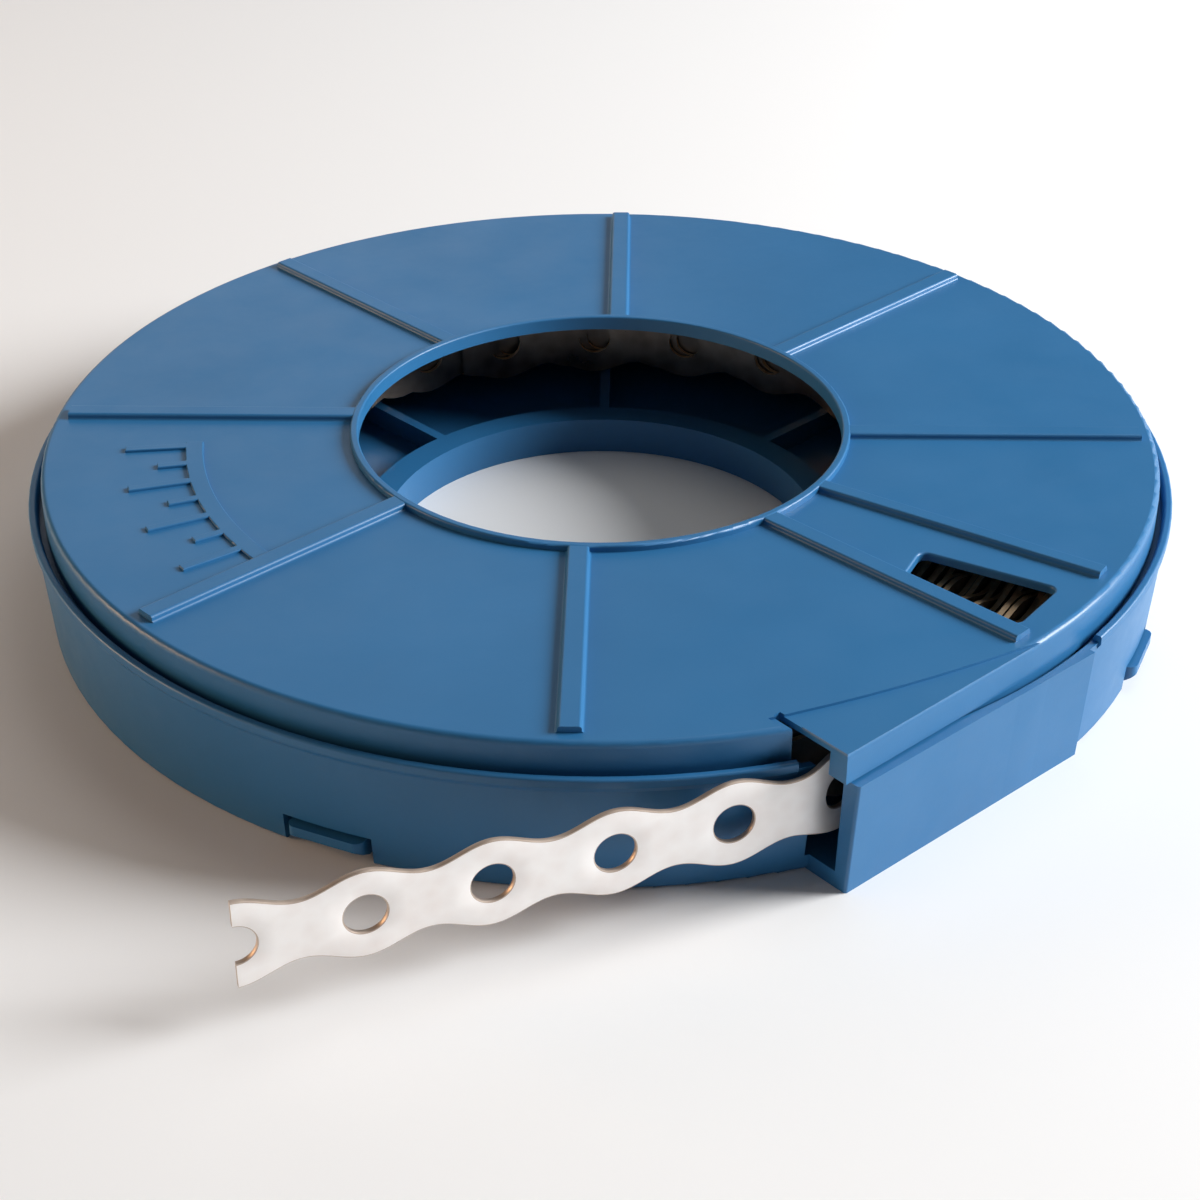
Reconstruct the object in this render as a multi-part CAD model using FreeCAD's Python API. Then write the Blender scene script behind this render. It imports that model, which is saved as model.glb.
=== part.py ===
import FreeCAD, Part
import math
import os

# A strap dispenser: a round two-shell case that holds a coil of perforated
# steel fixing strap and pays it out through a tangential nose.
# Frame: origin on the case axis at the table, +Z up, strap pulled towards -X.
# All lengths are millimetres and all angles are degrees.

Vec = FreeCAD.Vector
UP = Vec(0, 0, 1)
ORIGIN = Vec(0, 0, 0)

# strap
STRAP_WIDTH = 12.0
WAIST_WIDTH = 8.1
STRAP_THICK = 0.75
HOLE_R = 2.6
HOLE_PITCH = 15.0
FREE_HOLES = 4
COIL_HALF_TURNS = 51
COIL_PITCH = 1.05
COIL_R = 75.8
STRAP_Z = 5.8
STRAP_MID_Z = STRAP_Z + STRAP_WIDTH / 2
FREE_LINE_Y = -82.25
FIRST_HOLE_X = -15.6
SEAM_GAP = 0.1

# nose: its panel runs along the line on which the strap leaves the coil
NOSE_ANGLE = -70.7
PANEL_ANGLE = -70.0
PANEL_SINK = 0.05
NOSE_ROOT = 12.0
NOSE_INNER = 60.0
NOSE_OUTER = 90.0
MOUTH_T = 30.6
LID_MOUTH_T = 31.7
MOUTH_EXTRA = 0.6

# base tray
FLOOR_UNDER = 0.8
FLOOR_TOP = 2.4
HUB_BORE_R = 31.9
HUB_R = 36.2
HUB_WALL = 1.5
COIL_REST_Z = 5.7
REST_RIB_COUNT = 8
REST_RIB_WIDTH = 1.6
REST_RIB_FIRST_ANGLE = 22.5
PANEL_TOP = 16.5
LEDGE_Z = 15.5
LEDGE_R = 80.5
RIM_TOP = 17.5
RIM_R = 81.8
RIM_ROUND = 0.35
RIM_LAND = 1.0
LIP_INNER_R = 80.2
LIP_FOOT_R = 81.0
LIP_FOOT_Z = 14.9
LIP_FLARE_Z = 16.3
PANEL_EDGE_ROUND = 0.4
WALL_FOOT_R = 80.3
WALL_TOP_R = 81.4
CAVITY_FOOT_R = 78.3
CAVITY_TOP_R = 78.95
MOUTH_SILL = 1.6
FOOT_ROUND = 0.7
RIM_START_ANGLE = -60.0
RIM_END_T = 33.5

# lid cover
LID_TOP = 21.35
LID_PLATE = 1.2
LID_R = 79.7
LID_NOSE_DEPTH = 80.6
LID_EDGE_ROUND = 0.8
MOUTH_SLIT = 1.1
MOUTH_SLIT_R = 76.3
SHOULDER_Z = 15.8
NOSE_SHOULDER_Z = 16.8
SKIRT_FOOT_R = 77.9
SKIRT_TOP_R = 78.6
SKIRT_WALL = 1.2
SKIRT_FOOT_Z = 0.8
SKIRT_CLEAR_Z = 6.1
LOW_SKIRT_START_T = 4.0
LOW_SKIRT_INNER = 74.0
SKIRT_GAP = 0.3
SKIRT_SLOT_START_T = 3.0
SKIRT_END_T = 21.6
SKIRT_SLOT_OUTER = 79.0
COLLAR_BORE_R = 35.0
COLLAR_R = 36.14
COLLAR_FOOT_Z = LID_TOP - LID_PLATE
COLLAR_TOP_Z = 22.31
COLLAR_ROUND = 0.3
RIB_HEIGHT = 0.9
RIB_WIDTH = 2.92
RIB_ROUND = 0.4
RIB_ROOT = 0.35
RIB_OFFSET = 2.24
RIB_END_R = 77.6
RIB_FIRST_ANGLE = 22.5
RIB_COUNT = 8
WINDOW_RIB = 6
FLANK_RIBS = ((-55.06, 0.0, 2.4), (-66.34, 4.87, 2.9))
WINDOW_CORNERS = ((26.3, -48.9), (21.6, -53.3), (29.1, -69.4), (38.4, -63.7))
WINDOW_ROUND = 1.2
WINDOW_EDGE_ROUND = 0.35
NOSE_STEP = 0.35
NOSE_STEP_START_T = -9.0
NOSE_STEP_CENTRE = (-4.2, 120.5)
NOSE_STEP_R = 197.2
MARK_RADII = (57.0, 59.5)
MARK_ANGLES = (164.0, 201.0)
MARK_HEIGHT = 0.4
MARK_ROUND = 0.15
TICK_COUNT = 8
TICK_WIDTH = 1.3
TICK_LONG = 11.0
TICK_SHORT = 6.5

# snap hooks
HOOK_ANGLES = (-45.0, 45.0, 135.0, -136.2)
HOOK_INNER = 78.2
HOOK_OUTER = 79.2
HOOK_TIP = 81.5
HOOK_WIDTH = 10.5
HOOK_PIVOT_Z = 15.1
HOOK_FOOT_Z = 0.8
HOOK_HEAD_Z = 3.6
HOOK_LEAD_Z = 2.2
HOOK_ROUND = 1.2
SLOT_WIDTH = 12.5
SLOT_INNER = 75.0
HOOK_WELL_INNER = 70.0
HOOK_GAP = 0.3
CHANNEL_OUTER = 79.5
NOTCH_Z = 4.2

FAR = 100.0


def polar(radius, angle, z=0.0):
    a = math.radians(angle)
    return Vec(radius * math.cos(a), radius * math.sin(a), z)


def nose_point(t, depth, z=0.0):
    """A point t along the strap's way out and depth outward from the axis."""
    out = polar(1.0, NOSE_ANGLE)
    along = polar(1.0, NOSE_ANGLE - 90.0)
    return along * t + out * depth + UP * z


def nose_place(vertex):
    """A vertex's t and depth, as nose_point takes them."""
    point = Vec(vertex.X, vertex.Y, 0)
    return point.dot(polar(1.0, NOSE_ANGLE - 90.0)), point.dot(polar(1.0, NOSE_ANGLE))


def polygon(points):
    return Part.makePolygon(points + [points[0]])


def prism(wire, height):
    return Part.Face(wire).extrude(UP * height)


def cylinder(radius, z0, z1):
    return Part.makeCylinder(radius, z1 - z0, UP * z0)


def tube(outer, inner, z0, z1):
    return cylinder(outer, z0, z1).cut(cylinder(inner, z0 - 1, z1 + 1))


def turned(profile):
    """A solid of revolution about +Z from (radius, z) points."""
    face = Part.Face(polygon([Vec(r, 0, z) for r, z in profile]))
    return face.revolve(ORIGIN, UP, 360)


def bar(t0, t1, width, z0, z1, angle, offset=0.0):
    """A box that runs outward at an angle, its centre line offset sideways."""
    box = Part.makeBox(t1 - t0, width, z1 - z0, Vec(t0, offset - width / 2, z0))
    box.rotate(ORIGIN, UP, angle)
    return box


def rounded(shape, radius, chosen):
    """The shape with the chosen edges rounded; chosen tells from an edge's vertices."""
    edges = [e for e in shape.Edges if chosen(e.Vertexes)]
    result = shape.makeFillet(radius, edges)
    if not result.isValid() or abs(result.Volume / shape.Volume - 1) > 0.1:
        raise ValueError(f"rounding {len(edges)} edges by {radius} spoilt the shape")
    return result


def all_at(z):
    return lambda vertexes: all(abs(v.Z - z) < 0.01 for v in vertexes)


def outline(radius, depth, mouth_t, z):
    """The cover's outline: a circle and a nose whose corner lies at mouth_t, depth."""
    corner = nose_point(mouth_t, depth)
    corner_angle = math.degrees(math.atan2(corner.y, corner.x))
    tangent_angle = corner_angle + math.degrees(math.acos(radius / corner.Length))
    inner = nose_point(mouth_t, math.sqrt(radius**2 - mouth_t**2))
    inner_angle = math.degrees(math.atan2(inner.y, inner.x)) + 360.0
    tangent = polar(radius, tangent_angle)
    middle = polar(radius, (tangent_angle + inner_angle) / 2)
    lift = UP * z
    return Part.Wire([
        Part.makeLine(corner + lift, tangent + lift),
        Part.Arc(tangent + lift, middle + lift, inner + lift).toShape(),
        Part.makeLine(inner + lift, corner + lift),
    ])


def polyhedron(low, high):
    """A solid between two polygons, counterclockwise from above, with parallel matching sides."""
    sides = [[low[n - 1], low[n], high[n], high[n - 1]] for n in range(len(low))]
    faces = [Part.Face(polygon(points)) for points in sides + [low[::-1], high]]
    return Part.Solid(Part.Shell(faces))


def nose_wedge(taper, z0, z1, mouth_t):
    """The nose's solid; its panel is a drafted plane that grows out of the cone of the wall."""
    out = polar(1.0, PANEL_ANGLE)
    along = polar(1.0, PANEL_ANGLE - 90.0)
    mouth_normal = polar(1.0, NOSE_ANGLE - 90.0)
    rings = []
    for z in (z0, z1):
        root = out * (taper(z) - PANEL_SINK)
        reach = (mouth_t - root.dot(mouth_normal)) / along.dot(mouth_normal)
        ring = [out * NOSE_INNER - along * NOSE_ROOT, nose_point(mouth_t, NOSE_INNER),
                root + along * reach, root - along * NOSE_ROOT]
        rings.append([point + UP * z for point in ring])
    return polyhedron(*rings)


def straight_taper(foot, top, z_foot, z_top):
    return lambda z: foot + (top - foot) * (z - z_foot) / (z_top - z_foot)


def cone(taper, z0, z1):
    return Part.makeCone(taper(z0), taper(z1), z1 - z0, UP * z0)


def drafted(taper, z0, z1, mouth_t):
    """The case's drafted shape with its nose, for walls, skirts and hollows."""
    return cone(taper, z0, z1).fuse(nose_wedge(taper, z0, z1, mouth_t))


def nose_block(t0, t1, d0, d1, z0, z1):
    corners = [nose_point(t, d, z0) for t, d in ((t0, d0), (t1, d0), (t1, d1), (t0, d1))]
    return prism(polygon(corners), z1 - z0)


def sector(angle0, angle1, z0, z1):
    """A wedge about the axis, used to cut away an angular range."""
    middle = (angle0 + angle1) / 2
    corners = [ORIGIN + UP * z0] + [polar(FAR, a, z0) for a in (angle0, middle, angle1)]
    return prism(polygon(corners), z1 - z0)


def hook_slot(inner, outer, z0, z1, angle):
    return bar(inner, outer, SLOT_WIDTH, z0, z1, angle)


def rim_lip():
    """The flared lip round the tray, absent along the nose."""
    lip = turned((
        (LIP_INNER_R, LIP_FOOT_Z), (LIP_FOOT_R, LIP_FOOT_Z), (RIM_R, LIP_FLARE_Z),
        (RIM_R, RIM_TOP), (RIM_R - RIM_LAND, RIM_TOP), (LIP_INNER_R, LEDGE_Z),
    ))
    lip = rounded(lip, RIM_ROUND, all_at(RIM_TOP))
    end_angle = NOSE_ANGLE - math.degrees(math.asin(RIM_END_T / RIM_R))
    return lip.cut(sector(end_angle, RIM_START_ANGLE, 0, FAR))


def base_tray():
    wall = straight_taper(WALL_FOOT_R, WALL_TOP_R, 0, PANEL_TOP)
    hollow = straight_taper(CAVITY_FOOT_R, CAVITY_TOP_R, 0, PANEL_TOP)
    open_t = MOUTH_T + MOUTH_EXTRA
    shell = rounded(cone(wall, 0, PANEL_TOP), FOOT_ROUND, all_at(0))
    corner_t = MOUTH_T - 1
    nose = rounded(nose_wedge(wall, 0, PANEL_TOP, MOUTH_T), PANEL_EDGE_ROUND,
                   lambda ends: all(nose_place(v)[0] > corner_t and nose_place(v)[1] > LEDGE_R - 1
                                    for v in ends))
    shell = shell.fuse([nose, rim_lip()])
    shell = shell.cut(drafted(hollow, FLOOR_TOP, FAR, open_t))
    shell = shell.cut(cylinder(LEDGE_R, LEDGE_Z, FAR))
    shell = shell.fuse([tube(HUB_R, HUB_BORE_R, 0, COIL_REST_Z), rest_ribs()])
    shell = shell.cut(foot_recess(hollow))
    shell = shell.cut(tube(HUB_R - HUB_WALL, HUB_BORE_R + HUB_WALL, -1, COIL_REST_Z - HUB_WALL))
    shell = shell.cut(cylinder(HUB_BORE_R, -1, FAR))
    slot = nose_block(SKIRT_SLOT_START_T, SKIRT_END_T + 1, SKIRT_FOOT_R - SKIRT_WALL - SKIRT_GAP,
                      SKIRT_SLOT_OUTER, -1, FLOOR_TOP + 1)
    shell = shell.cut(slot.common(drafted(hollow, -2, FLOOR_TOP + 2, open_t + 1)))
    for angle in HOOK_ANGLES:
        shell = shell.cut(hook_slot(SLOT_INNER, CHANNEL_OUTER, -1, LEDGE_Z + 1, angle))
        shell = shell.cut(hook_slot(SLOT_INNER, FAR, -1, NOTCH_Z, angle))
    return shell.removeSplitter()


def rest_ribs():
    """Radial ribs on the floor, as high as the hub ring: the coil lies on them."""
    step = 360.0 / REST_RIB_COUNT
    angles = [REST_RIB_FIRST_ANGLE + step * n for n in range(REST_RIB_COUNT)]
    ribs = [bar(HUB_R - HUB_WALL, CAVITY_FOOT_R + 1, REST_RIB_WIDTH, FLOOR_TOP - 0.5, COIL_REST_Z, a)
            for a in angles]
    return ribs[0].fuse(ribs[1:])


def foot_recess(hollow):
    """The shallow hollow under the floor, inside the foot of the wall and of the hub ring."""
    recess = drafted(hollow, -1, FLOOR_UNDER, MOUTH_T - MOUTH_SILL)
    return recess.cut(cylinder(HUB_R, -2, FLOOR_TOP))


def lid_cover():
    cap = prism(outline(LID_R, LID_NOSE_DEPTH, LID_MOUTH_T, NOSE_SHOULDER_Z), LID_TOP - NOSE_SHOULDER_Z)
    cap = rounded(cap, LID_EDGE_ROUND, all_at(LID_TOP))
    step = nose_block(NOSE_STEP_START_T, LID_MOUTH_T + 2, NOSE_INNER, NOSE_OUTER,
                      LID_TOP - NOSE_STEP, LID_TOP + 1)
    step_round = Part.makeCylinder(NOSE_STEP_R, FAR, Vec(*NOSE_STEP_CENTRE, 0))
    cap = cap.cut(step.cut(step_round))
    cap = cap.fuse(cylinder(LID_R, SHOULDER_Z, NOSE_SHOULDER_Z))
    slit = nose_block(LID_MOUTH_T, LID_MOUTH_T + MOUTH_SLIT, slit_depth(), NOSE_OUTER, 0, FAR)
    cap = cap.cut(slit)
    outside = straight_taper(SKIRT_FOOT_R, SKIRT_TOP_R, SKIRT_FOOT_Z, NOSE_SHOULDER_Z)
    skirt = drafted(outside, SKIRT_FOOT_Z, NOSE_SHOULDER_Z, SKIRT_END_T)
    keep_low = nose_block(LOW_SKIRT_START_T, LID_MOUTH_T + 1, LOW_SKIRT_INNER, NOSE_OUTER,
                          0, SKIRT_CLEAR_Z)
    skirt = skirt.cut(cylinder(FAR, 0, SKIRT_CLEAR_Z).cut(keep_low))
    cover = cap.fuse(skirt)
    inside = straight_taper(SKIRT_FOOT_R - SKIRT_WALL, SKIRT_TOP_R - SKIRT_WALL,
                            SKIRT_FOOT_Z, NOSE_SHOULDER_Z)
    cover = cover.cut(drafted(inside, 0, LID_TOP - LID_PLATE, LID_MOUTH_T + MOUTH_EXTRA))
    for angle in HOOK_ANGLES:
        cover = cover.cut(hook_slot(HOOK_WELL_INNER, LID_R + HOOK_GAP, 0, SHOULDER_Z - SEAM_GAP, angle))
    cover = cover.cut([cylinder((COLLAR_BORE_R + COLLAR_R) / 2, 0, FAR), strap_window()])
    cover = rounded(cover, WINDOW_EDGE_ROUND, on_window_rim)
    cover = cover.fuse([lid_ribs(), lid_mark(), collar()])
    return cover.removeSplitter()


def collar():
    ring = tube(COLLAR_R, COLLAR_BORE_R, COLLAR_FOOT_Z, COLLAR_TOP_Z)
    return rounded(ring, COLLAR_ROUND, all_at(COLLAR_TOP_Z))


def slit_depth():
    """How far in the slit at the mouth starts, measured outward from the axis."""
    return math.sqrt(MOUTH_SLIT_R**2 - LID_MOUTH_T**2)


def rib(start, end, width, angle, offset):
    """A raised rib along a radius, with rounded top edges and a hollow curve at its root."""
    half = width / 2
    top = LID_TOP + RIB_HEIGHT
    deep = LID_TOP - 0.5
    curve = math.sqrt(0.5)

    def at(y, z):
        return Vec(start, offset + y, z)

    right = [
        Part.makeLine(at(half + RIB_ROOT, deep), at(half + RIB_ROOT, LID_TOP)),
        Part.Arc(at(half + RIB_ROOT, LID_TOP),
                 at(half + RIB_ROOT * (1 - curve), LID_TOP + RIB_ROOT * (1 - curve)),
                 at(half, LID_TOP + RIB_ROOT)).toShape(),
        Part.makeLine(at(half, LID_TOP + RIB_ROOT), at(half, top - RIB_ROUND)),
        Part.Arc(at(half, top - RIB_ROUND),
                 at(half - RIB_ROUND * (1 - curve), top - RIB_ROUND * (1 - curve)),
                 at(half - RIB_ROUND, top)).toShape(),
    ]
    middle_plane = Vec(start, offset, 0)
    left = [edge.mirror(middle_plane, Vec(0, 1, 0)) for edge in right]
    across = [
        Part.makeLine(at(half - RIB_ROUND, top), at(RIB_ROUND - half, top)),
        Part.makeLine(at(half + RIB_ROOT, deep), at(-half - RIB_ROOT, deep)),
    ]
    section = Part.Wire(Part.__sortEdges__(right + left + across))
    solid = Part.Face(section).extrude(Vec(end - start, 0, 0))
    solid.rotate(ORIGIN, UP, angle)
    return solid


def lid_ribs():
    """Raised ribs in a pinwheel; two flank ribs stand each side of the window."""
    start = (COLLAR_BORE_R + COLLAR_R) / 2
    ribs = []
    for n in range(RIB_COUNT):
        if n == WINDOW_RIB:
            continue
        angle = RIB_FIRST_ANGLE + 360.0 * n / RIB_COUNT
        ribs.append(rib(start, RIB_END_R, RIB_WIDTH, angle, -RIB_OFFSET))
    for angle, front_offset, width in FLANK_RIBS:
        ribs.append(rib(start, RIB_END_R, width, angle, width / 2 - front_offset))
    return ribs[0].fuse(ribs[1:])


def lid_mark():
    """A generic raised scale: an arc with short and long ticks."""
    z0 = LID_TOP - 0.5
    z1 = LID_TOP + MARK_HEIGHT
    first, last = MARK_ANGLES
    arc = tube(MARK_RADII[1], MARK_RADII[0], z0, z1).common(sector(first, last, 0, FAR))
    ticks = []
    for n in range(TICK_COUNT):
        angle = first + 1.0 + (last - first - 2.0) * n / (TICK_COUNT - 1)
        length = TICK_SHORT if n % 2 else TICK_LONG
        ticks.append(bar(MARK_RADII[0], MARK_RADII[0] + length, TICK_WIDTH, z0, z1, angle))
    return rounded(arc.fuse(ticks).removeSplitter(), MARK_ROUND, all_at(z1))


def on_window_rim(vertexes):
    """True for the top edges of the window."""
    inner = min(math.hypot(x, y) for x, y in WINDOW_CORNERS) - 1
    outer = max(math.hypot(x, y) for x, y in WINDOW_CORNERS) + 1
    low = min(math.degrees(math.atan2(y, x)) for x, y in WINDOW_CORNERS) - 1
    high = max(math.degrees(math.atan2(y, x)) for x, y in WINDOW_CORNERS) + 1
    return all_at(LID_TOP)(vertexes) and all(
        inner < math.hypot(v.X, v.Y) < outer and low < math.degrees(math.atan2(v.Y, v.X)) < high
        for v in vertexes
    )


def strap_window():
    window = prism(polygon([Vec(x, y, LID_TOP - 3) for x, y in WINDOW_CORNERS]), FAR)
    upright = [e for e in window.Edges if abs(e.Vertexes[0].Z - e.Vertexes[1].Z) > 1]
    return window.makeFillet(WINDOW_ROUND, upright)


def snap_hook(angle):
    """A cantilever hook; its rounded root lies on the line about which it flexes."""
    middle = (HOOK_INNER + HOOK_OUTER) / 2
    root_r = (HOOK_OUTER - HOOK_INNER) / 2
    half = HOOK_WIDTH / 2
    points = [Vec(r, -half, z) for r, z in (
        (HOOK_INNER, HOOK_PIVOT_Z), (HOOK_INNER, HOOK_FOOT_Z), (HOOK_OUTER, HOOK_FOOT_Z),
        (HOOK_TIP, HOOK_LEAD_Z), (HOOK_TIP, HOOK_HEAD_Z), (HOOK_OUTER, HOOK_HEAD_Z),
        (HOOK_OUTER, HOOK_PIVOT_Z),
    )]
    crown = Part.Arc(points[-1], Vec(middle, -half, HOOK_PIVOT_Z + root_r), points[0]).toShape()
    sides = [Part.makeLine(a, b) for a, b in zip(points, points[1:])]
    hook = Part.Face(Part.Wire(sides + [crown])).extrude(Vec(0, HOOK_WIDTH, 0))
    corners = [e for e in hook.Edges if all(abs(v.X - HOOK_TIP) < 0.01 for v in e.Vertexes)
               and abs(e.Vertexes[0].Z - e.Vertexes[1].Z) > 1]
    hook = hook.makeFillet(HOOK_ROUND, corners)
    hook.rotate(ORIGIN, UP, angle)
    return hook


def coil_centre_and_radius(half_turn):
    """Half-turn arcs about two centres in turn make a smooth spiral."""
    shift = polar(COIL_PITCH / 2, NOSE_ANGLE + 180.0)
    centre = shift if half_turn % 2 else ORIGIN
    return centre, COIL_R - half_turn * COIL_PITCH / 2


def coil_side(offset):
    """One face of the coiled strip as arcs, from the outer end inwards."""
    arcs = []
    for n in range(COIL_HALF_TURNS):
        centre, radius = coil_centre_and_radius(n)
        first = NOSE_ANGLE + 180.0 * n
        points = [centre + polar(radius + offset, first + turn, STRAP_Z) for turn in (0, 90, 180)]
        arcs.append(Part.Arc(*points))
    return arcs


def strap_coil():
    outer = coil_side(STRAP_THICK / 2)
    inner = coil_side(-STRAP_THICK / 2)
    ends = [
        Part.makeLine(outer[0].StartPoint, inner[0].StartPoint),
        Part.makeLine(outer[-1].EndPoint, inner[-1].EndPoint),
    ]
    edges = [arc.toShape() for arc in outer + inner] + ends
    return prism(Part.Wire(Part.__sortEdges__(edges)), STRAP_WIDTH)


def wavy_strip(start, stop, first_hole, holes):
    """A flat strip along +X with scalloped edges: wide at each hole, narrow between."""
    steps = int((stop - start) / (HOLE_PITCH / 6)) + 1
    edge_lines = []
    for side in (1, -1):
        points = []
        for n in range(steps + 1):
            x = start + (stop - start) * n / steps
            swing = (1 + math.cos(2 * math.pi * (x - first_hole) / HOLE_PITCH)) / 2
            half = (WAIST_WIDTH + (STRAP_WIDTH - WAIST_WIDTH) * swing) / 2
            points.append(Vec(x, -STRAP_THICK / 2, side * half))
        curve = Part.BSplineCurve()
        curve.interpolate(points)
        edge_lines.append(curve.toShape())
    ends = [
        Part.makeLine(edge_lines[0].Vertexes[n].Point, edge_lines[1].Vertexes[n].Point)
        for n in (0, 1)
    ]
    wire = Part.Wire(Part.__sortEdges__(edge_lines + ends))
    strip = Part.Face(wire).extrude(Vec(0, STRAP_THICK, 0))
    for x in holes:
        strip = strip.cut(Part.makeCylinder(HOLE_R, 4, Vec(x, -2, 0), Vec(0, 1, 0)))
    return strip


def strap_free_end():
    """The strip from the coil's edge through the mouth, bent where it meets the free line."""
    along = polar(1.0, NOSE_ANGLE - 90.0)
    bend_t = (FREE_LINE_Y - nose_point(0, COIL_R).y) / along.y
    bend = nose_point(bend_t, COIL_R, STRAP_MID_Z)
    to_first = bend.x - FIRST_HOLE_X
    fork = -to_first - HOLE_PITCH * FREE_HOLES
    # local X runs back along the strip from the bend; holes sit at whole pitches
    outside = [-to_first - HOLE_PITCH * n for n in range(FREE_HOLES + 1)]
    free = wavy_strip(fork, 6.0, -to_first, outside)
    inside = [-to_first + HOLE_PITCH * n for n in (1, 2, 3)]
    lead = wavy_strip(-6.0, bend_t - SEAM_GAP, -to_first, inside)
    turn = NOSE_ANGLE + 90.0
    half_plane = Part.makeBox(200, 40, 40, Vec(0, -20, -20))
    outer_half = half_plane.copy()
    outer_half.rotate(ORIGIN, UP, 180 + turn / 2)
    inner_half = half_plane.copy()
    inner_half.rotate(ORIGIN, UP, turn / 2)
    lead.rotate(ORIGIN, UP, turn)
    strip = free.common(outer_half).fuse(lead.common(inner_half)).removeSplitter()
    strip.translate(bend)
    return strip


def write(name, shape):
    solids = shape.Solids
    if len(solids) != 1 or not solids[0].isValid():
        print("CHECK", name, "solids", len(solids), "valid", shape.isValid())
    solid = solids[0]
    solid.exportStep(f"parts/{name}.step")
    box = solid.BoundBox
    print(f"{name}: volume {solid.Volume / 1000:.2f} cm3, X {box.XMin:.2f}..{box.XMax:.2f},"
          f" Y {box.YMin:.2f}..{box.YMax:.2f}, Z {box.ZMin:.2f}..{box.ZMax:.2f}")


def main():
    os.makedirs("parts", exist_ok=True)
    write("base_tray", base_tray())
    write("lid_cover", lid_cover())
    write("strap_coil", strap_coil())
    write("strap_free_end", strap_free_end())
    for number, angle in enumerate(HOOK_ANGLES, 1):
        write(f"snap_hook_{number}", snap_hook(angle))


main()
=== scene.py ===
import math

import bmesh
import bpy
import numpy as np
from mathutils import Matrix, Vector


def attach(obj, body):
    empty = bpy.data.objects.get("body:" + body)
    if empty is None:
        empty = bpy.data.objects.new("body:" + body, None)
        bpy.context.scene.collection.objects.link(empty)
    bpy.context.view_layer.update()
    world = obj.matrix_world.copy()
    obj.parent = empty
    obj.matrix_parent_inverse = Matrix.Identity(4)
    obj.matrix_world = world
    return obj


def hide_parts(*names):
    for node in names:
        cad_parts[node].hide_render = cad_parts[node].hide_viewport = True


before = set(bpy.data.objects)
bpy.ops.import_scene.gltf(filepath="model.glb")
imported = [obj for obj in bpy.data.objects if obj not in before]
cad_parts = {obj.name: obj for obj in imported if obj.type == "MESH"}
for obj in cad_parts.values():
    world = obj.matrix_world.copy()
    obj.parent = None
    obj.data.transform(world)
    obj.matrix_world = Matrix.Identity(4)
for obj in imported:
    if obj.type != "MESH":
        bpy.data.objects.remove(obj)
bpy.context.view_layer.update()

# Sizes are metres and angles are degrees unless a name says otherwise.
MM = 0.001

# strap, as the real strip is punched
PITCH = 15.0 * MM
HOLE_R = 2.6 * MM
WIDE = 6.0 * MM
WAIST = 4.05 * MM
THICK = 0.75 * MM
EDGE_ROUND = 0.16 * MM
EDGE_EASE = 0.3          # where a rounded edge has its middle point, as a part of EDGE_ROUND
MID_FACE = 0.45          # where the face between hole and edge is split
WELD = 0.01 * MM
SHARP_ANGLE = 38.0
STRAP_MID_Z = 11.8 * MM
FREE_LINE_Y = -82.25 * MM
FIRST_HOLE_X = -15.6 * MM
FREE_HOLES = 4
INSIDE_HOLES = 3
BEND_R = 7.0 * MM

# coil
COIL_R = 75.8 * MM
COIL_PITCH = 1.05 * MM
COIL_HALF_TURNS = 51
NOSE_ANGLE = -70.7

# camera, in the frame of the part
CAMERA_AT = (-0.11112, -0.28281, 0.18015)
CAMERA_LOOKS = (0.3105, 0.7908, -0.5274)
CAMERA_LENS = 70.7
CAMERA_ROLL = -0.096

FLOOR_HALF = 1.3


def polar(radius, angle, z=0.0):
    a = math.radians(angle)
    return Vector((radius * math.cos(a), radius * math.sin(a), z))


# ---------------------------------------------------------------- camera, floor, light

def make_camera():
    camera = bpy.data.objects.new("camera", bpy.data.cameras.new("camera"))
    bpy.context.scene.collection.objects.link(camera)
    turn = Vector(CAMERA_LOOKS).to_track_quat("-Z", "Y").to_matrix().to_4x4()
    roll = Matrix.Rotation(math.radians(CAMERA_ROLL), 4, "Z")
    camera.matrix_world = Matrix.Translation(CAMERA_AT) @ turn @ roll
    camera.data.lens = CAMERA_LENS
    camera.data.sensor_width = 36.0
    camera.data.clip_start = 0.01
    camera.data.clip_end = 50.0
    bpy.context.scene.camera = camera


def make_floor():
    half = FLOOR_HALF
    mesh = bpy.data.meshes.new("floor")
    corners = [(-half, -half, 0), (half, -half, 0), (half, half, 0), (-half, half, 0)]
    mesh.from_pydata(corners, [], [(0, 1, 2, 3)])
    floor = bpy.data.objects.new("floor", mesh)
    bpy.context.scene.collection.objects.link(floor)
    material, nodes, links, shader = new_material("floor_white")
    shader.inputs["Base Color"].default_value = (0.84, 0.84, 0.84, 1)
    shader.inputs["Roughness"].default_value = 0.9
    shader.inputs["Specular IOR Level"].default_value = 0.1
    mesh.materials.append(material)


def area_light(name, at, target, size, power, colour=(1, 1, 1)):
    light = bpy.data.lights.new(name, "AREA")
    light.shape = "DISK"
    light.size = size
    light.energy = power
    light.color = colour
    holder = bpy.data.objects.new(name, light)
    bpy.context.scene.collection.objects.link(holder)
    holder.location = at
    holder.rotation_euler = (Vector(target) - Vector(at)).to_track_quat("-Z", "Y").to_euler()


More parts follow.
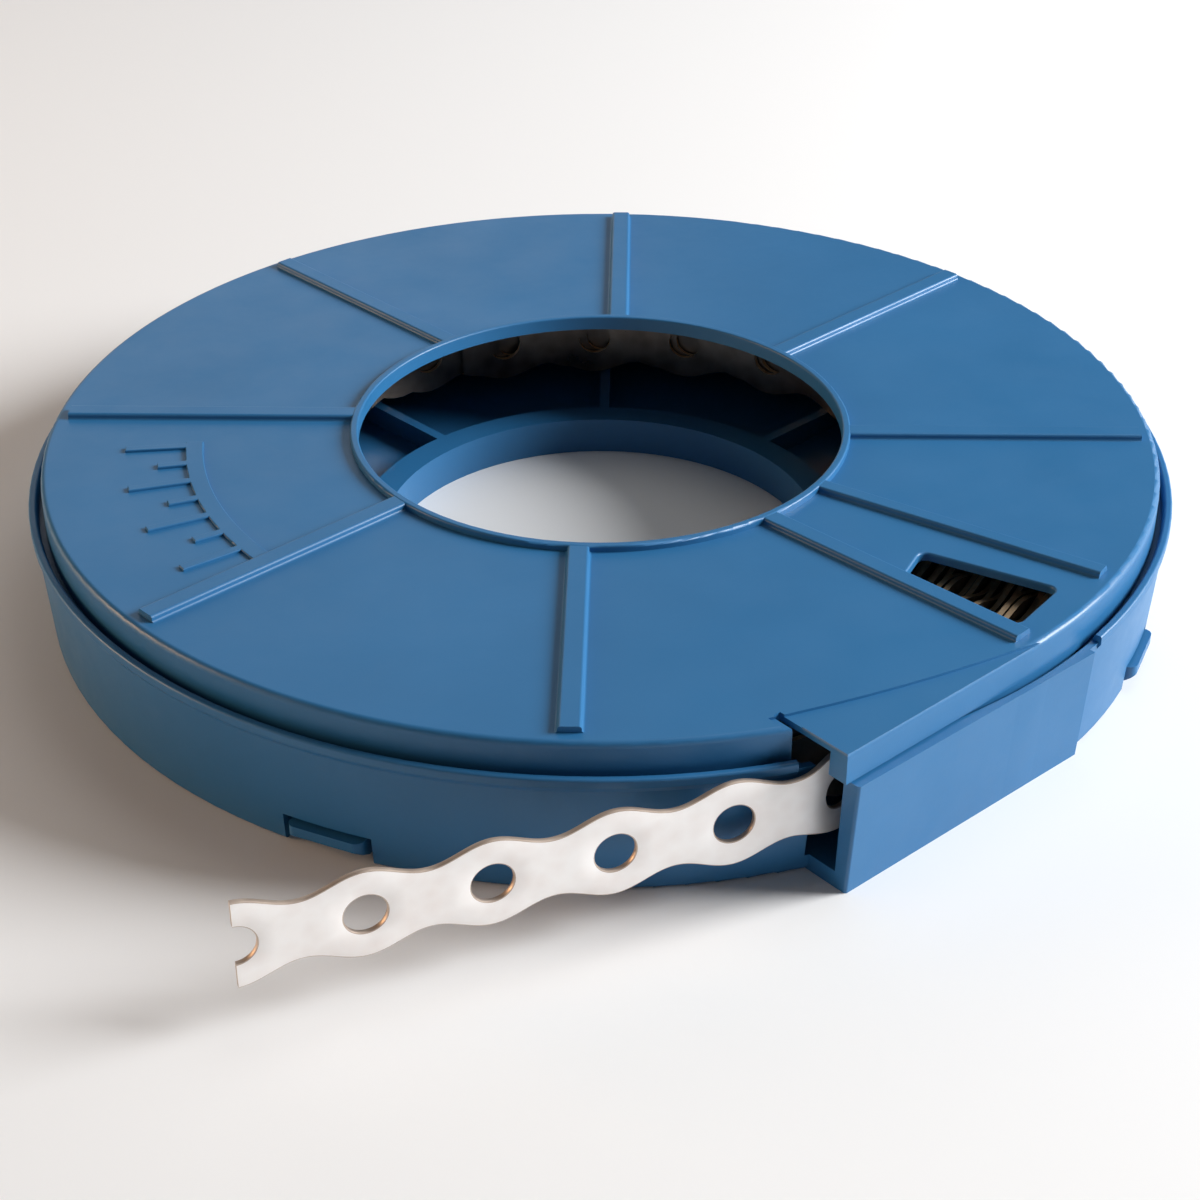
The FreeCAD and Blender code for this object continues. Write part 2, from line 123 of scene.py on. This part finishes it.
def make_sky():
    """A dim studio: pale below the horizon, where only the backdrop shows, and dark overhead."""
    world = bpy.data.worlds.new("studio")
    world.use_nodes = True
    nodes, links = world.node_tree.nodes, world.node_tree.links
    direction = nodes.new("ShaderNodeTexCoord")
    split = nodes.new("ShaderNodeSeparateXYZ")
    links.new(direction.outputs["Generated"], split.inputs["Vector"])
    height = nodes.new("ShaderNodeMapRange")
    height.inputs["From Min"].default_value = -0.05
    height.inputs["From Max"].default_value = 0.40
    links.new(split.outputs["Z"], height.inputs["Value"])
    grey = ramp(nodes, links, height.outputs["Result"], ((0.08, 0.66), (0.30, 0.28), (0.85, 0.09)))
    links.new(grey.outputs["Color"], nodes["Background"].inputs["Color"])
    return world


def make_lights():
    centre = (0, 0, 0.015)
    area_light("window_light", polar(0.90, -18.0, 0.455), centre, 0.5, 19.5, (0.97, 0.985, 1.0))
    area_light("top_light", polar(0.5, 30.0, 1.1), centre, 0.8, 1.8)
    area_light("rear_light", polar(1.2, 84.0, 0.48), centre, 0.8, 1.2, (0.95, 0.97, 1.0))
    area_light("warm_side", polar(0.7, 158.0, 0.14), centre, 0.35, 2.7, (1.0, 0.62, 0.34))
    bpy.context.scene.world = make_sky()
    bpy.context.scene.view_settings.view_transform = "Standard"
    bpy.context.scene.view_settings.look = "None"


# ---------------------------------------------------------------- materials

def new_material(name):
    material = bpy.data.materials.new(name)
    material.use_nodes = True
    nodes = material.node_tree.nodes
    return material, nodes, material.node_tree.links, nodes["Principled BSDF"]


def noise(nodes, links, coordinates, scale, detail=3.0, roughness=0.5):
    texture = nodes.new("ShaderNodeTexNoise")
    texture.inputs["Scale"].default_value = scale
    texture.inputs["Detail"].default_value = detail
    texture.inputs["Roughness"].default_value = roughness
    links.new(coordinates.outputs["Object"], texture.inputs["Vector"])
    return texture


def ramp(nodes, links, source, stops):
    """A colour ramp from (position, colour) stops; a colour may be one grey number."""
    node = nodes.new("ShaderNodeValToRGB")
    elements = node.color_ramp.elements
    while len(elements) < len(stops):
        elements.new(0.5)
    for element, (position, colour) in zip(elements, stops):
        element.position = position
        element.color = (*colour, 1) if isinstance(colour, tuple) else (colour, colour, colour, 1)
    links.new(source, node.inputs["Fac"])
    return node


def bump(nodes, links, height, strength, distance, below=None):
    node = nodes.new("ShaderNodeBump")
    node.inputs["Strength"].default_value = strength
    node.inputs["Distance"].default_value = distance
    links.new(height, node.inputs["Height"])
    if below is not None:
        links.new(below.outputs["Normal"], node.inputs["Normal"])
    return node


def moulded_plastic(name, dark, light, roughness=0.42):
    """Satin moulded plastic: fine spark-eroded grain, faint flow clouds and handling marks."""
    material, nodes, links, shader = new_material(name)
    where = nodes.new("ShaderNodeTexCoord")
    clouds = noise(nodes, links, where, 38.0, 3.0, 0.55)
    colour = ramp(nodes, links, clouds.outputs["Fac"], ((0.30, dark), (0.72, light)))
    links.new(colour.outputs["Color"], shader.inputs["Base Color"])
    smears = noise(nodes, links, where, 95.0, 4.0, 0.6)
    gloss = ramp(nodes, links, smears.outputs["Fac"],
                 ((0.30, roughness - 0.06), (0.75, roughness + 0.08)))
    links.new(gloss.outputs["Color"], shader.inputs["Roughness"])
    grain = noise(nodes, links, where, 5200.0, 2.0, 0.5)
    fine = bump(nodes, links, grain.outputs["Fac"], 0.22, 0.00004)
    ripple = noise(nodes, links, where, 260.0, 2.0, 0.5)
    wavy = bump(nodes, links, ripple.outputs["Fac"], 0.10, 0.00012, fine)
    links.new(wavy.outputs["Normal"], shader.inputs["Normal"])
    shader.inputs["IOR"].default_value = 1.5
    return material


def zinc_steel(name, pale, dull, roughness, metallic):
    """Zinc-coated strip: soft crystal patches, stains and fine rolling streaks."""
    material, nodes, links, shader = new_material(name)
    where = nodes.new("ShaderNodeTexCoord")
    spangle = nodes.new("ShaderNodeTexVoronoi")
    spangle.inputs["Scale"].default_value = 420.0
    links.new(where.outputs["Object"], spangle.inputs["Vector"])
    stains = noise(nodes, links, where, 120.0, 4.0, 0.6)
    blend = nodes.new("ShaderNodeMix")
    blend.inputs["Factor"].default_value = 0.25
    links.new(stains.outputs["Fac"], blend.inputs["A"])
    links.new(spangle.outputs["Distance"], blend.inputs["B"])
    colour = ramp(nodes, links, blend.outputs["Result"], ((0.30, dull), (0.62, pale)))
    links.new(colour.outputs["Color"], shader.inputs["Base Color"])
    gloss = ramp(nodes, links, stains.outputs["Fac"],
                 ((0.3, roughness - 0.08), (0.7, roughness + 0.10)))
    links.new(gloss.outputs["Color"], shader.inputs["Roughness"])
    streaks = noise(nodes, links, where, 900.0, 2.0, 0.5)
    scratch = bump(nodes, links, streaks.outputs["Fac"], 0.15, 0.00003)
    links.new(scratch.outputs["Normal"], shader.inputs["Normal"])
    shader.inputs["Metallic"].default_value = metallic
    return material


# ---------------------------------------------------------------- the punched strip

def half_width(along):
    """Half the strip's width at a distance from a hole's centre: a scalloped edge."""
    return WAIST + (WIDE - WAIST) * (1 + math.cos(2 * math.pi * along / PITCH)) / 2


def cell_outline(per_end, per_edge, whole):
    """Points round one pitch of the strip, and for each one whether it lies on a punched edge.
    A whole pitch is a closed ring; the half pitch at the tip opens through its hole."""
    half = PITCH / 2
    waist = half_width(half)
    end = [(half, waist * (2 * k / per_end - 1)) for k in range(1, per_end)]
    points = [(half, -waist, True)] + [(x, y, False) for x, y in end] + [(half, waist, True)]
    reach = PITCH if whole else half
    steps = per_edge if whole else per_edge // 2
    back = [(half - reach * k / steps) for k in range(1, steps + 1)]
    points += [(x, half_width(x), True) for x in back]
    if whole:
        points += [(-x, -y, False) for x, y in end]
        points += [(-half, -waist, True)]
        points += [(-x, -half_width(x), True) for x in back[:-1]]
    else:
        points = [(x, -half_width(x), True) for x in reversed(back)] + points
    return points


def section(fine):
    """The cross-section from a hole's wall to the strip's edge and back, as (from, inset, height):
    from is 0 at the hole and 1 at the edge, inset moves away from that edge, height is in half
    thicknesses."""
    e = EDGE_ROUND
    h = 1 - e / (THICK / 2)
    ease = EDGE_EASE * e
    m = 1 - ease / (THICK / 2)
    front = [(0, 0, h), (0, ease, m), (0, e, 1), (MID_FACE, 0, 1), (1, e, 1), (1, ease, m), (1, 0, h)]
    if not fine:
        front = [(0, 0, 1), (1, 0, 1)]
    return front + [(side, inset, -level) for side, inset, level in reversed(front)]


def cell_mesh(per_end, per_edge, fine, whole):
    """One pitch as points (along, across, out), faces, and which faces are cut edges."""
    outline = cell_outline(per_end, per_edge, whole)
    profile = section(fine)
    count = len(profile)
    points = []
    for x, y, _ in outline:
        angle = math.atan2(y, x)
        rim = (HOLE_R * math.cos(angle), HOLE_R * math.sin(angle))
        for side, inset, level in profile:
            px = rim[0] + (x - rim[0]) * side
            py = rim[1] + (y - rim[1]) * side
            if side == 1:
                py -= math.copysign(inset, y) if abs(y) > inset else 0.0
            elif side == 0:
                px += inset * math.cos(angle)
                py += inset * math.sin(angle)
            points.append((px, py, level * THICK / 2))
    faces = []
    cut = []
    last_front = max(k for k, (side, _, level) in enumerate(profile) if level == 1)
    first_back = min(k for k, (side, _, level) in enumerate(profile) if level == -1)
    spans = len(outline) if whole else len(outline) - 1
    for i in range(spans):
        j = (i + 1) % len(outline)
        edge = outline[i][2] and outline[j][2]
        for k in range(count):
            if not edge and last_front <= k < first_back:
                continue
            n = (k + 1) % count
            faces.append((i * count + k, j * count + k, j * count + n, i * count + n))
            cut.append(int(profile[k][2] != profile[n][2]))
    if not whole:
        last = (len(outline) - 1) * count
        faces.append(tuple(range(count))[::-1])
        faces.append(tuple(last + k for k in range(count)))
        cut += [1, 1]
    return np.array(points), faces, cut


def mesh_object(name, points, faces, cut):
    """A welded mesh; cut holds each face's material number, 0 for a flat and 1 for a cut edge."""
    mesh = bpy.data.meshes.new(name)
    mesh.from_pydata(points.tolist(), [], faces)
    mesh.polygons.foreach_set("material_index", cut)
    build = bmesh.new()
    build.from_mesh(mesh)
    loose = [v for v in build.verts if not v.link_faces]
    bmesh.ops.delete(build, geom=loose, context="VERTS")
    bmesh.ops.remove_doubles(build, verts=build.verts, dist=WELD)
    bmesh.ops.recalc_face_normals(build, faces=build.faces)
    build.to_mesh(mesh)
    build.free()
    mesh.shade_smooth()
    mesh.set_sharp_from_angle(angle=math.radians(SHARP_ANGLE))
    piece = bpy.data.objects.new(name, mesh)
    bpy.context.scene.collection.objects.link(piece)
    return piece


def strip(name, holes, path, fine, per_end, per_edge, tip=None):
    """A punched strip: holes are their distances along the path; tip is a half pitch's hole."""
    all_points = []
    all_faces = []
    all_cut = []
    start = 0
    places = [(hole, True) for hole in holes]
    if tip is not None:
        places.append((tip, False))
    cells = {whole: cell_mesh(per_end, per_edge, fine, whole) for _, whole in places}
    for hole, whole in places:
        points, faces, cut = cells[whole]
        all_points.append(points + np.array([hole, 0, 0]))
        all_faces += [tuple(start + v for v in face) for face in faces]
        all_cut += cut
        start += len(points)
    flat = np.concatenate(all_points)
    centre, heading = path(flat[:, 0])
    out = np.stack([np.sin(heading), -np.cos(heading)], axis=1)
    placed = np.empty_like(flat)
    placed[:, :2] = centre + out * flat[:, 2:3]
    placed[:, 2] = STRAP_MID_Z + flat[:, 1]
    return mesh_object(name, placed, all_faces, all_cut)


def bend_point():
    """Where the line out of the nose meets the free strip's line."""
    start = polar(COIL_R, NOSE_ANGLE)
    along = polar(1.0, NOSE_ANGLE - 90.0)
    t = (FREE_LINE_Y - start.y) / along.y
    return np.array(start + along * t)[:2], t


def free_path(s):
    """Centre and heading at s from the bend; s is negative on the free side."""
    corner, _ = bend_point()
    turn = math.radians(NOSE_ANGLE + 90.0)
    half_arc = BEND_R * turn / 2
    reach = BEND_R * math.tan(turn / 2)
    heading = np.clip((s + half_arc) / BEND_R, 0.0, turn)
    centre = corner + np.array([-reach, BEND_R])
    arc = centre + BEND_R * np.stack([np.sin(heading), -np.cos(heading)], axis=1)
    before = np.minimum(s + half_arc, 0.0)[:, None] * np.array([1.0, 0.0])
    after = np.maximum(s - half_arc, 0.0)[:, None] * np.array([math.cos(turn), math.sin(turn)])
    return arc + before + after, heading


def coil_path(s):
    """Centre and heading at s from the bend, on the straight lead and then along the spiral."""
    _, lead = bend_point()
    d = s - lead
    radii = COIL_R - np.arange(COIL_HALF_TURNS + 1) * COIL_PITCH / 2
    starts = np.concatenate([[0.0], np.cumsum(math.pi * radii)])
    turn = np.clip(np.searchsorted(starts, d, side="right") - 1, 0, COIL_HALF_TURNS)
    radius = radii[turn]
    angle = math.radians(NOSE_ANGLE) + math.pi * turn + np.maximum(d - starts[turn], 0.0) / radius
    shift = np.array(polar(COIL_PITCH / 2, NOSE_ANGLE + 180.0))[:2]
    centre = (turn % 2)[:, None] * shift
    place = centre + radius[:, None] * np.stack([np.cos(angle), np.sin(angle)], axis=1)
    heading = angle + math.pi / 2
    back = np.minimum(d, 0.0)[:, None] * np.stack([np.cos(heading), np.sin(heading)], axis=1)
    return place + back, heading


def hole_places():
    """Hole distances from the bend: on the strap with its tip, and on the coil."""
    corner, lead = bend_point()
    first = FIRST_HOLE_X - corner[0]
    length = sum(math.pi * (COIL_R - n * COIL_PITCH / 2) for n in range(COIL_HALF_TURNS))
    inside = [first + PITCH * k for k in range(1, INSIDE_HOLES)]
    outside = [first - PITCH * k for k in range(FREE_HOLES)]
    coil_first = first + PITCH * INSIDE_HOLES
    coil_count = int((lead + length - coil_first) / PITCH)
    coil = [coil_first + PITCH * k for k in range(coil_count)]
    return sorted(outside + inside), first - PITCH * FREE_HOLES, coil


# ---------------------------------------------------------------- the pieces

def finish_cad_nodes():
    """The moulded parts keep their exact shape and get their real surface."""
    blue = ((0.019, 0.131, 0.300), (0.023, 0.145, 0.328))
    skins = {
        "base_tray": moulded_plastic("tray_blue", *blue, 0.40),
        "lid_cover": moulded_plastic("cover_blue", *blue, 0.41),
    }
    hook_skin = moulded_plastic("hook_blue", *blue, 0.40)
    for name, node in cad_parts.items():
        if name.startswith("snap_hook"):
            node.material_slots[0].material = hook_skin
        elif name in skins:
            node.material_slots[0].material = skins[name]


def make_strap_and_coil():
    strap_holes, tip, coil_holes = hole_places()
    strap = strip("free_strap", strap_holes, free_path, True, 6, 28, tip)
    strap.data.materials.append(zinc_steel("zinc_strap", (0.97, 0.94, 0.92), (0.90, 0.84, 0.81), 0.45, 0.40))
    strap.data.materials.append(zinc_steel("strap_edge", (0.60, 0.49, 0.41), (0.40, 0.30, 0.24), 0.42, 0.7))
    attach(strap, "strap")
    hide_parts("strap_free_end")
    coil = strip("coiled_strap", coil_holes, coil_path, False, 2, 10)
    # The coil is the same zinc strip as the free strap; its dark brown colour is painted shade for its place
    # inside the case.
    coil.data.materials.append(zinc_steel("zinc_coil_painted_shade", (0.34, 0.28, 0.23), (0.20, 0.16, 0.13), 0.34, 0.9))
    # The coil's cut edges: the warm tone of a cut edge is real, their bright gold over the strap's brown
    # edge is a painted highlight.
    coil.data.materials.append(zinc_steel("coil_edge_painted_highlight", (1.0, 0.76, 0.50), (0.66, 0.43, 0.25), 0.42, 0.85))
    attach(coil, "coil")
    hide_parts("strap_coil")


make_camera()
make_floor()
make_lights()
finish_cad_nodes()
make_strap_and_coil()
